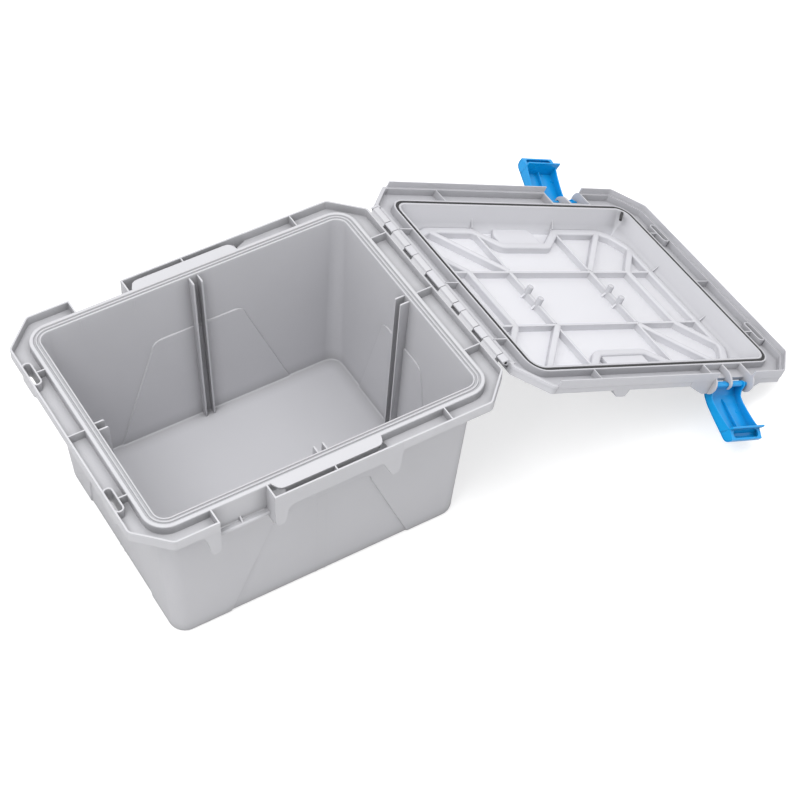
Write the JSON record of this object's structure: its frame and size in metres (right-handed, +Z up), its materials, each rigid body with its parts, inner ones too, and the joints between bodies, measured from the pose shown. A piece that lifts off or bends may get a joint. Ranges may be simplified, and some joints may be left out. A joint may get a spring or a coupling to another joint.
{
  "type": "storage box",
  "caption": "Rectangular moulded camp storage box with a gasketed hinged lid laid back, swing-out side latches, padlock tabs and finger-grip rims.",
  "frame": {"origin": "middle of the tub's flat underside", "axes": "+Z up, +X across the box to the right-hand latch side, -Y the front edge with the padlock tabs, +Y the hinge edge; the lid is drawn laid open past upright"},
  "size_m": [0.5124, 0.9089, 0.2352],
  "materials": {
    "tub_plastic": "light grey injection-moulded polypropylene with a satin surface",
    "lid_plastic": "light grey injection-moulded polypropylene, the thin panel slightly translucent",
    "seal_rubber": "black foam rubber cord",
    "rod_steel": "plain drawn steel rod",
    "latch_plastic": "bright blue moulded plastic with a soft gloss"
  },
  "bodies": {
    "tub_body": {"tub": "tub_plastic", "hinge_rod": "rod_steel"},
    "lid_body": {"lid": "lid_plastic", "lid_gasket": "seal_rubber"},
    "latch_right_body": {"latch_right": "latch_plastic"},
    "latch_left_body": {"latch_left": "latch_plastic"}
  },
  "joints": [
    {"name": "lid_hinge", "type": "hinge", "parent": "tub_body", "child": "lid_body", "pos_m": [0, 0.241, 0.2312], "axis": [1, 0, 0], "range_deg": [0, 206.2]},
    {"name": "latch_right_pivot", "type": "hinge", "parent": "lid_body", "child": "latch_right_body", "pos_m": [0.188, 0.55074, 0.06341], "axis": [0, -0.8973, 0.4415], "range_deg": [-16, 124]},
    {"name": "latch_left_pivot", "type": "hinge", "parent": "lid_body", "child": "latch_left_body", "pos_m": [-0.188, 0.55074, 0.06341], "axis": [0, 0.8973, -0.4415], "range_deg": [-60, 80]}
  ]
}
